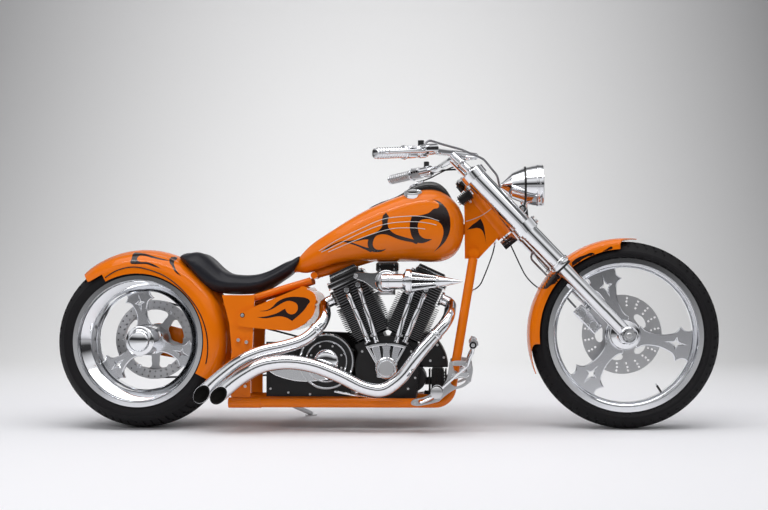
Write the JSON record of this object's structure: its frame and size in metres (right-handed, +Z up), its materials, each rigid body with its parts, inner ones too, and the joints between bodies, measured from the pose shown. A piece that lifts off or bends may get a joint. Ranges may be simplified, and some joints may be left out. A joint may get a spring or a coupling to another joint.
{
  "type": "chopper motorcycle",
  "caption": "Long raked custom chopper with a finned vee-twin, wide rear tyre and gothic bladed wheels, parked on its side stand; wheels, steering and stand move.",
  "frame": {"origin": "on the ground under the middle of the machine's length and of its width over the handlebar", "axes": "+X to the front wheel, +Y to the machine's left, towards which it leans on its stand, +Z up"},
  "size_m": [2.4628, 0.9252, 1.0488],
  "materials": {
    "tyre": "matt",
    "chrome": "polished",
    "steel": "brushed",
    "alloy": "polished",
    "paint": "gloss",
    "frame_paint": "gloss",
    "engine_black": "satin",
    "black_plastic": "gloss",
    "seat_cover": "satin",
    "belt": "matt",
    "lens": "clear"
  },
  "bodies": {
    "frame": {"pushrod_tubes": "chrome", "air_cleaner": "chrome", "exhaust_upper": "chrome", "exhaust_lower": "chrome", "filler_cap": "chrome", "cam_cover": "chrome", "gearbox_cover": "chrome", "stand_bracket": "steel", "rear_caliper": "alloy", "forward_control_right": "alloy", "forward_control_left": "alloy", "intake": "alloy", "rear_fender": "paint", "fuel_tank": "paint", "backbone": "paint", "oil_tank": "paint", "cradle_tube_right": "frame_paint", "cradle_tube_left": "frame_paint", "pivot_plates": "frame_paint", "seat_rails": "frame_paint", "swingarm": "frame_paint", "crankcase": "engine_black", "cylinder_rear": "engine_black", "cylinder_front": "engine_black", "head_rear": "engine_black", "head_front": "engine_black", "gearbox": "engine_black", "regulator": "engine_black", "primary_cover": "engine_black", "dash_panel": "black_plastic", "seat": "seat_cover", "drive_belt": "belt"},
    "fork": {"top_clamp": "chrome", "lower_clamp": "chrome", "fork_leg_right": "chrome", "fork_leg_left": "chrome", "front_axle": "chrome", "handlebar": "chrome", "control_right": "chrome", "control_left": "chrome", "headlight": "chrome", "headlight_lens": "lens", "front_fender": "paint", "front_caliper": "alloy", "brake_hose": "belt"},
    "front_wheel": {"front_tyre": "tyre", "front_wheel": "chrome", "front_disc": "steel"},
    "rear_wheel": {"rear_tyre": "tyre", "rear_wheel": "chrome", "rear_pulley": "alloy"},
    "side_stand": {"stand_leg": "steel"}
  },
  "joints": [
    {"name": "steering", "type": "hinge", "parent": "frame", "child": "fork", "pos_m": [0.3845, -0.00763, 0.79624], "axis": [-0.6157, 0.0344, 0.7873], "range_deg": [-30, 30]},
    {"name": "front_wheel_spin", "type": "hinge", "parent": "fork", "child": "front_wheel", "pos_m": [0.8875, -0.02739, 0.34374], "axis": [0, 0.999, -0.0436], "continuous": true},
    {"name": "rear_wheel_spin", "type": "hinge", "parent": "frame", "child": "rear_wheel", "pos_m": [-0.9065, -0.02821, 0.32486], "axis": [0, 0.999, -0.0436], "continuous": true},
    {"name": "side_stand_swing", "type": "hinge", "parent": "frame", "child": "side_stand", "pos_m": [-0.3865, 0.13267, 0.06643], "axis": [0.0747, 0.3803, 0.9218], "range_deg": [0, 95]}
  ]
}
